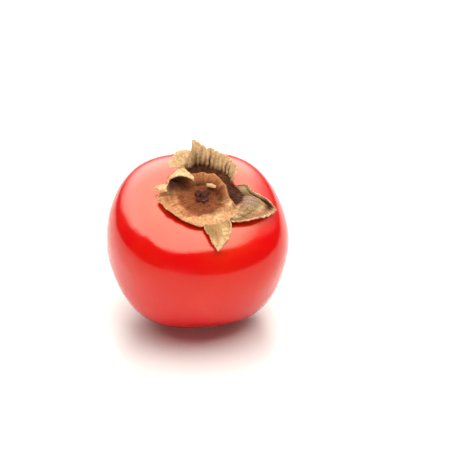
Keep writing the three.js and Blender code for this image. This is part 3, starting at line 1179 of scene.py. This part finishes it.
    def lobe_tones(self, azimuth: float, outwards: float) -> dict[str, float]:
        """Tones beyond the rim.

        Args:
            azimuth: where it leaves the rim.
            outwards: from 0 at the rim to 1 at the edge.

        Returns:
            The strength of each tone.
        """
        made = self.disc_tones(self.rim(azimuth), azimuth)
        lobe, across = self.lobe_at(azimuth)
        if not lobe:
            return made
        share = smooth(outwards, 0.0, 0.14)
        for name in TONES:
            made[name] = lerp(made[name], lobe.tones.get(name, 0.0), share)
        # Painted shade at the lobe's base, where it rises from the hollow.
        reach, depth = lobe.base
        made["stain"] = max(made["stain"], depth * smooth(outwards, reach, reach * 0.25))
        # Painted shade in the bottoms of its fine folds, uneven along the rim.
        uneven = max(0.55 + 1.1 * grain(across * 5, 3.0), 0.15)
        valley = smooth(-lobe.fold(across, outwards), -0.2, 0.9) * smooth(outwards, 1.05, 0.55)
        made["stain"] += lobe.furrowed * valley * uneven
        rim = lobe.rims[0 if across < 0 else 1]
        made["pale"] = max(made["pale"], rim * smooth(outwards, 0.87, 0.98))
        for mark in lobe.marks:
            mark.add_tones(made, mark.on_lobe(across, outwards))
        return made

    def tones(self, azimuth: float, share: float) -> dict[str, float]:
        """Strength of each tone at an azimuth and a share of the grid's rows."""
        row = share * (self.disc_rows + self.lobe_rows)
        if row <= self.disc_rows:
            return self.disc_tones(self.rim(azimuth) * row / self.disc_rows, azimuth)
        return self.lobe_tones(azimuth, (row - self.disc_rows) / self.lobe_rows)

    def build(self, material: bpy.types.Material) -> bpy.types.Object:
        """Builds the calyx as one sheet with a thickness.

        Args:
            material: the dried leaf's finish.

        Returns:
            The piece.
        """
        bm = polar_sheet(self.columns, self.disc_rows + self.lobe_rows, self.top_point)
        azimuths = bm.verts.layers.float["azimuth"]
        shares = bm.verts.layers.float["share"]
        fibres = bm.verts.layers.float_vector.new("fibre")
        layers = {name: bm.verts.layers.float.new(name) for name in TONES}
        for vert in bm.verts:
            azimuth, share = vert[azimuths] % 360, vert[shares]
            vert[fibres] = polar(12, azimuth, share * 30)
            for name, strength in self.tones(azimuth, share).items():
                vert[layers[name]] = min(max(strength, 0.0), 1.0)
        made = Piece("calyx_leaf", Slot.LEAF, material).finish(bm, "calyx")
        return thicken(made, self.thickness)


# ---------------------------------------------------------------- stalk and style


@dataclass(frozen=True)
class Stalk:
    """Broken end of the woody stalk, with a torn, hollow top and ridges that run out from it.

    It is a sheet with an open foot, which is hidden in the disc.

    Attributes:
        radius: of the stump.
        foot: height of its foot.
        height: of its crown over the foot.
        hollow: how far its middle lies lower than its crown.
        flank: share of the way to the foot at which its side begins.
        splinters: number of its ridges.
        splinter_phase: turns the ridges round the axis, in degrees.
        arm: azimuth, half-width and reach of the splinter that runs out furthest.
        shift: how far it stands off the axis, towards +X.
        columns: cells round the axis.
        rows: cells from the middle to the foot.
    """

    radius: float = 3.5
    foot: float = 26.9
    height: float = 2.2
    hollow: float = 0.7
    flank: float = 0.72
    splinters: int = 5
    splinter_phase: float = 60.0
    arm: tuple[float, float, float] = (52.0, 20.0, 0.55)
    shift: float = STALK_SHIFT
    columns: int = 120
    rows: int = 30

    def point(self, azimuth: float, share: float) -> Vector:
        """Point of the stump at an azimuth and a share from its middle to its foot."""
        torn = grain(cos_deg(azimuth) * 2, cos_deg(azimuth - 90) * 2, share * 2)
        flank = smooth(share, self.flank, 1.0)
        arms = 0.5 + 0.5 * cos_deg(self.splinters * azimuth + self.splinter_phase)
        at, half_width, reach = self.arm
        arm = reach * hump(turn(at, azimuth), half_width)
        rho = self.radius * share * (1 + (0.5 * torn + 0.06 * arms + arm) * share)
        crown = self.height - self.hollow * (1 - share**2) + 0.3 * arms * share + 0.7 * torn
        chips = 0.25 * grain(rho * cos_deg(azimuth) * 1.6, rho * cos_deg(azimuth - 90) * 1.6, 9.0)
        point = polar(rho, azimuth, self.foot + lerp(crown + chips, 0.0, flank))
        point.x += self.shift
        return point

    def build(self, material: bpy.types.Material) -> bpy.types.Object:
        """Builds the stump.

        Args:
            material: the wood's finish.

        Returns:
            The piece.
        """
        bm = polar_sheet(self.columns, self.rows, self.point)
        return Piece("stalk_stump", Slot.WOOD, material).finish(bm, "stem_scar")


@dataclass(frozen=True)
class Flake:
    """Small curled flake of dried skin on the collar.

    Attributes:
        at: its middle, in the fruit's frame.
        size: its length and width.
        heading: its turn round the axis, in degrees.
        arch: how far its middle stands up.
        thickness: of the flake.
        cells: grid cells along and across it.
    """

    at: tuple[float, float, float] = (2.4, 5.0, 29.9)
    size: tuple[float, float] = (4.0, 2.0)
    heading: float = -14.0
    arch: float = 0.7
    thickness: float = 0.35
    cells: tuple[int, int] = (32, 18)

    def build(self, material: bpy.types.Material) -> bpy.types.Object:
        """Builds the flake as a bent sheet.

        Args:
            material: the dried leaf's finish.

        Returns:
            The piece.
        """
        bm = bmesh.new()
        along, across = self.cells
        bmesh.ops.create_grid(bm, x_segments=along, y_segments=across, size=0.5)
        pale = bm.verts.layers.float.new("pale")
        fibres = bm.verts.layers.float_vector.new("fibre")
        width, depth = self.size
        for vert in bm.verts:
            x, y = vert.co.x * 2, vert.co.y * 2
            taper = 1 - 0.45 * abs(x) ** 1.7 + 0.16 * grain(x * 3.5, 4.0)
            vert.co = Vector((
                x * width / 2,
                y * depth / 2 * taper + 0.25 * x * x,
                self.arch * (1 - y * y) - 0.45 * abs(x) + 0.3 * grain(x * 2.6, y * 2.2),
            ))
            vert[pale] = 0.9 - 0.7 * smooth(abs(y), 0.75, 1.0)
            vert[fibres] = vert.co
        turned = Matrix.Rotation(math.radians(self.heading), 4, "Z")
        bmesh.ops.transform(bm, matrix=Matrix.Translation(self.at) @ turned, verts=bm.verts)
        bmesh.ops.recalc_face_normals(bm, faces=bm.faces)
        return thicken(Piece("dry_flake", Slot.LEAF, material).finish(bm), self.thickness)


@dataclass(frozen=True)
class Flap:
    """Corner of the fan that has folded down over the shoulder.

    Attributes:
        corners: the fold's foot and top, then the free edge's, in the fruit's frame.
        towards: direction in which its middle stands up.
        bulge: how far.
        torn: how crumpled it is.
        thickness: of the leaf.
        cells: grid cells along each side.
    """

    corners: tuple[tuple[float, float, float], ...] = (
        (-8.4, 12.6, 30.2),
        (-6.6, 17.2, 36.4),
        (-15.6, 11.2, 30.2),
        (-12.2, 18.6, 34.2),
    )
    towards: tuple[float, float, float] = (-0.35, 0.1, 0.93)
    bulge: float = 1.3
    torn: float = 0.7
    thickness: float = 0.6
    cells: int = 44

    def point(self, out: float, up: float) -> Vector:
        """Point of its upper face.

        Args:
            out: from 0 at the fold to 1 at the free edge.
            up: from 0 at its foot to 1 at its top.

        Returns:
            The point, in the fruit's frame.
        """
        a, b, c, d = (Vector(corner) for corner in self.corners)
        fold, free = a.lerp(b, up), c.lerp(d, up)
        ragged = 1 + 0.10 * grain(up * 5, 2.0) + 0.05 * grain(up * 14, 6.0)
        ragged -= 0.25 * (2 * up - 1) ** 4
        spread = fold.lerp(free, out * ragged)
        side = (2 * up - 1) * (1 - 0.12 * out)
        raised = self.bulge * math.sin(math.pi * min(out * 0.8, 1.0)) * (1 - side * side * 0.5)
        ridge = 0.18 * math.sin(up * 24 + 3 * grain(up * 3, out * 2)) * out
        crumple = self.torn * grain(out * 2.2, up * 2.6, 4.0) * out
        return spread + Vector(self.towards) * (raised + ridge + crumple)

    def build(self, material: bpy.types.Material) -> bpy.types.Object:
        """Builds the flap as a bent sheet.

        Args:
            material: the dried leaf's finish.

        Returns:
            The piece.
        """
        bm = bmesh.new()
        bmesh.ops.create_grid(bm, x_segments=self.cells, y_segments=self.cells, size=0.5)
        layers = {name: bm.verts.layers.float.new(name) for name in ("pale", "streaked", "stain")}
        fibres = bm.verts.layers.float_vector.new("fibre")
        for vert in bm.verts:
            out, up = vert.co.x + 0.5, vert.co.y + 0.5
            vert.co = self.point(out, up)
            vert[fibres] = Vector((up * 9, 0, out * 9))
            vert[layers["pale"]] = 0.95
            vert[layers["streaked"]] = 0.35 * (1 - out)
            # Painted shade along the fold, where the flap meets the fan.
            vert[layers["stain"]] = 0.6 * smooth(out + 0.3 * up, 0.3, 0.0)
        face_up(bm)
        return thicken(Piece("fan_flap", Slot.LEAF, material).finish(bm), self.thickness)


@dataclass(frozen=True)
class StylePoint:
    """Dried point of the flower's style in the blossom end.

    Attributes:
        floor: height of its foot, in the dimple of the blossom end.
        radius: of its foot.
        length: from its foot to its tip.
        columns: cells round the axis.
        rows: cells from the tip to the foot.
    """

    floor: float = -30.9
    radius: float = 1.0
    length: float = 1.7
    columns: int = 40
    rows: int = 18

    def point(self, azimuth: float, share: float) -> Vector:
        """Point of the style at an azimuth and a share from its tip to its foot."""
        rough = 1 + 0.18 * grain(cos_deg(azimuth) * 1.5, cos_deg(azimuth - 90) * 1.5, share * 3)
        rho = self.radius * share**0.8 * rough
        return polar(rho, azimuth, self.floor - self.length * (1 - share**1.6))

    def build(self, material: bpy.types.Material) -> bpy.types.Object:
        """Builds the point.

        Args:
            material: the style's finish.

        Returns:
            The piece.
        """
        bm = polar_sheet(self.columns, self.rows, self.point)
        bmesh.ops.edgeloop_fill(bm, edges=[edge for edge in bm.edges if edge.is_boundary])
        bmesh.ops.recalc_face_normals(bm, faces=bm.faces)
        return Piece("style_point", Slot.STYLE, material).finish(bm, "style_tip")


# ---------------------------------------------------------------- studio


@dataclass(frozen=True)
class Lamp:
    """Soft rectangular lamp that faces the fruit, unseen and not mirrored by its skin.

    Attributes:
        name: of the lamp.
        at: where it hangs, in metres.
        size: its width and height in metres.
        radiance: brightness of its face.
    """

    name: str
    at: tuple[float, float, float]
    size: tuple[float, float]
    radiance: float

    def build(self, tint: Colour) -> None:
        """Hangs the lamp, with the given tint."""
        light = bpy.data.lights.new(self.name, "AREA")
        light.color = tint
        light.shape = "RECTANGLE"
        light.size, light.size_y = self.size
        light.energy = math.pi * self.radiance * light.size * light.size_y
        made = bpy.data.objects.new(self.name, light)
        made.location = self.at
        towards = Vector((0, 0, LEAN.centre_height * MM)) - made.location
        made.rotation_euler = towards.to_track_quat("-Z", "Y").to_euler()
        made.visible_glossy = False
        made.visible_camera = False
        bpy.context.scene.collection.objects.link(made)


@dataclass(frozen=True)
class Studio:
    """White floor, soft light from above and all round, and the camera.

    Attributes:
        floor_size: side of the floor, in metres.
        camera_distance: from the middle of the fruit, in metres.
        camera_elevation: angle from which the camera looks down.
        lens: focal length in millimetres.
        sensor: width of the film in millimetres.
        shift: how far the picture is shifted, in shares of its width.
        lamps: the lamps.
        fill: least light that comes from all round, and how much the lit cloth adds.
        panel_towards: direction of the middle of the lit cloth behind the fruit.
        panel_edge: cosines of the angle from there between which it sets in.
        panel_front: heights between which the cloth that the skin mirrors sets in overhead.
        panel_top: heights between which the cloth that lights the fruit sets in overhead.
        panel_fade: heights between which what is mirrored fades in from the horizon.
        panel_side: places to the right between which what is mirrored gets dimmer.
        panel_dimmed: by how much.
        panel_radiance: brightness of what is mirrored.
        dark: brightness of what is mirrored elsewhere.
        warmth: tint of the light.
    """

    floor_size: float = 6.0
    camera_distance: float = 0.56
    camera_elevation: float = 27.0
    lens: float = 106.8
    sensor: float = 36.0
    shift: tuple[float, float] = (0.0649, 0.0316)
    lamps: tuple[Lamp, ...] = (
        Lamp("key", (0.10, 0.06, 0.75), (0.9, 0.7), 3.4),
        Lamp("front", (-0.15, -1.2, 0.15), (0.9, 0.22), 10.0),
    )
    fill: tuple[float, float] = (0.03, 1.55)
    panel_towards: tuple[float, float, float] = (0.0, 0.58, 0.81)
    panel_edge: tuple[float, float] = (0.46, 0.50)
    panel_front: tuple[float, float] = (0.71, 0.76)
    panel_top: tuple[float, float] = (0.80, 0.88)
    panel_fade: tuple[float, float] = (0.0, 0.65)
    panel_side: tuple[float, float] = (0.3, 0.8)
    panel_dimmed: float = 0.85
    panel_radiance: float = 6.4
    dark: float = 0.04
    warmth: Colour = (1.0, 0.975, 0.92)

    def floor(self, material: bpy.types.Material) -> None:
        """Lays the floor."""
        bm = bmesh.new()
        bmesh.ops.create_grid(bm, x_segments=1, y_segments=1, size=self.floor_size / 2)
        data = bpy.data.meshes.new("floor")
        bm.to_mesh(data)
        bm.free()
        data.materials.append(material)
        made = bpy.data.objects.new("floor", data)
        bpy.context.scene.collection.objects.link(made)

    def world(self) -> None:
        """Surrounds the fruit with white cloth: a broad lit panel overhead, open in front."""
        world = bpy.data.worlds.new("white_room")
        s = Shader(world)
        where = s.node("TexCoord", None, None, "Generated")
        towards = {0: where, 1: self.panel_towards}
        along = s.node("VectorMath", {"operation": "DOT_PRODUCT"}, towards, "Value")
        height = s.node("SeparateXYZ", None, {"Vector": where}, "Z")
        side = s.node("SeparateXYZ", None, {"Vector": where}, "X")
        glossy, camera = s.ray("Glossy"), s.ray("Camera")
        low, more = self.fill
        back = along.smooth(*self.panel_edge)
        diffuse = back.most(height.smooth(*self.panel_top)) * more + low
        panel = back.most(height.smooth(*self.panel_front))
        panel = panel * (1 - side.smooth(*self.panel_side) * self.panel_dimmed)
        faded = height.smooth(*self.panel_fade) * self.panel_radiance
        mirrored = panel * faded + self.dark
        strength = diffuse * (1 - glossy) + mirrored * glossy
        strength = strength * (1 - camera) + camera
        colour = s.mix(camera, self.warmth, (1.0, 1.0, 1.0))
        background = s.node("Background", None, {"Color": colour, "Strength": strength})
        output = s.tree.nodes.new("ShaderNodeOutputWorld")
        s.tree.links.new(background.socket, output.inputs["Surface"])
        bpy.context.scene.world = world

    def camera(self) -> None:
        """Sets up the camera."""
        data = bpy.data.cameras.new("camera")
        data.lens = self.lens
        data.sensor_width = self.sensor
        data.shift_x, data.shift_y = self.shift
        data.dof.use_dof = False
        elevation = math.radians(self.camera_elevation)
        made = bpy.data.objects.new("camera", data)
        made.location = (
            0.0,
            -self.camera_distance * math.cos(elevation),
            self.camera_distance * math.sin(elevation) + LEAN.centre_height * MM,
        )
        made.rotation_euler = (math.pi / 2 - elevation, 0.0, 0.0)
        bpy.context.scene.collection.objects.link(made)
        bpy.context.scene.camera = made

    def build(self) -> None:
        """Sets up the whole studio, shown without a film-like tone curve."""
        view = bpy.context.scene.view_settings
        view.view_transform, view.look = "Standard", "None"
        view.exposure, view.gamma = 0.0, 1.0
        self.camera()
        self.floor(FloorFinish().material())
        for lamp in self.lamps:
            lamp.build(self.warmth)
        self.world()


# ---------------------------------------------------------------- the whole


def main() -> None:
    """Builds the pieces in order."""
    logging.basicConfig(level=logging.INFO, format="%(name)s %(message)s")
    Studio().build()
    leaf = LeafFinish().material()
    body = Body()
    body.build(SkinFinish().material())
    Calyx(body).build(leaf)
    Stalk().build(WoodFinish().material())
    Flake().build(leaf)
    Flap().build(leaf)
    StylePoint().build(StyleFinish().material())


if __name__ == "__main__":
    main()
